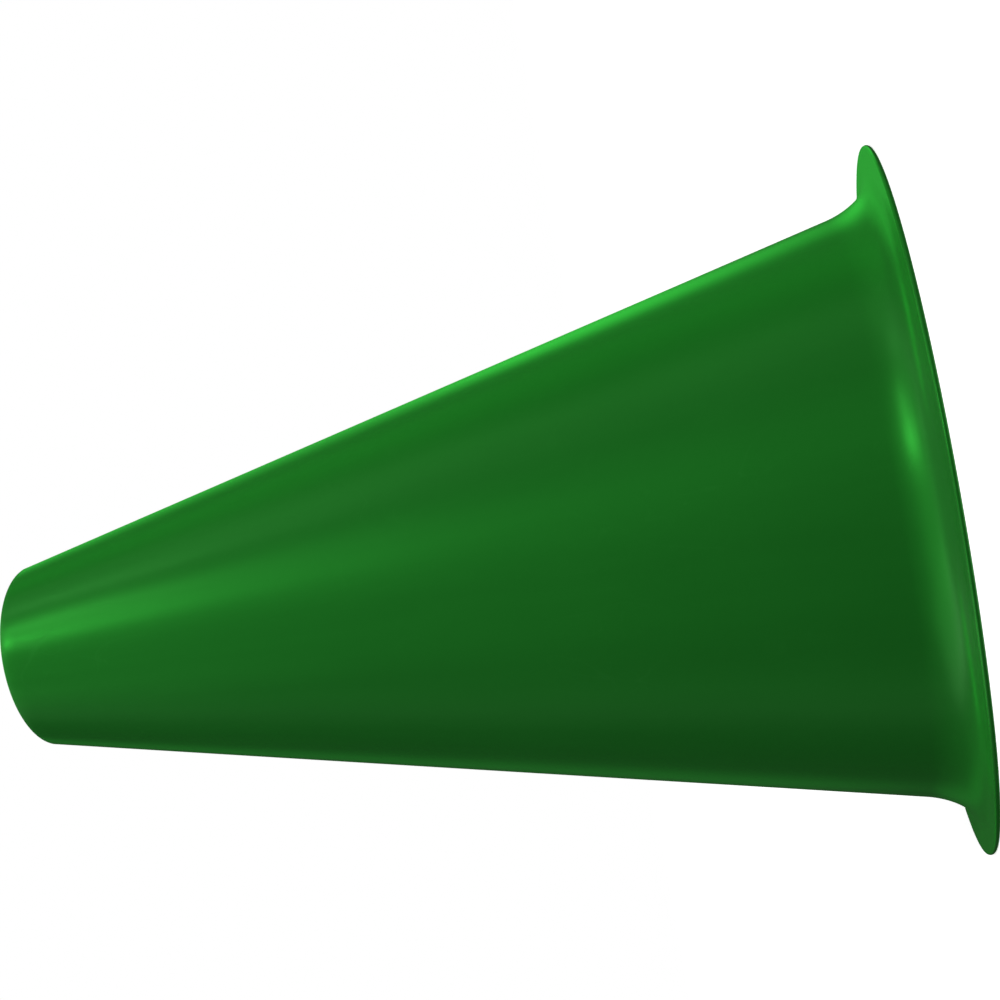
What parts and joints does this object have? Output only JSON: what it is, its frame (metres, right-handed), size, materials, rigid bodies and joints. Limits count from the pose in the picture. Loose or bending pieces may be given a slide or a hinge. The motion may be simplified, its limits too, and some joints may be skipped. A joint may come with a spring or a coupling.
{
  "type": "cheer megaphone",
  "caption": "Plain moulded plastic cheer megaphone: an open cone with a flanged bell and a mouth cut to fit the face, held in the hand to make a voice carry.",
  "frame": {"origin": "centre of the bell's flat face, on the floor that the horn stands on", "axes": "+Z along the horn's axis from the bell to the mouth; +Y towards one of the mouth's two long sides, which go beside the speaker's cheeks; +X towards one of its two low sides"},
  "size_m": [0.1776, 0.1776, 0.2302],
  "materials": {
    "green_plastic": "glossy moulded plastic, coloured all through, saturated green"
  },
  "bodies": {
    "root": {"horn_body": "green_plastic"}
  },
  "joints": []
}
